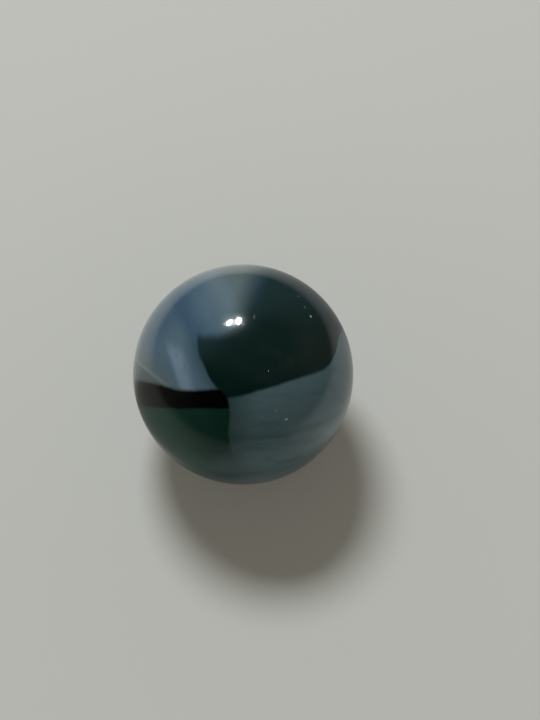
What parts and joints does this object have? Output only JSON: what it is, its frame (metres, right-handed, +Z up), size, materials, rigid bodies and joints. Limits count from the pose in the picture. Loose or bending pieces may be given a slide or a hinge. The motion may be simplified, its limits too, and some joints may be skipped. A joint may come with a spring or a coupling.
{
  "type": "glass marble",
  "caption": "Solid glass playing marble, a plain ball of dark bottle-green glass with opal blue-grey swirls fused into it.",
  "frame": {"origin": "centre of the ball", "axes": "+Z up as it lies; +X to the right and +Y away when the crossing of the ribbons faces the viewer; the ball is the same about every axis"},
  "size_m": [0.016, 0.016, 0.016],
  "materials": {
    "swirl_glass": "fire-polished, glossy; opal blue-grey ribbons in near-black bottle-green glass"
  },
  "bodies": {
    "root": {"marble": "swirl_glass"}
  },
  "joints": []
}
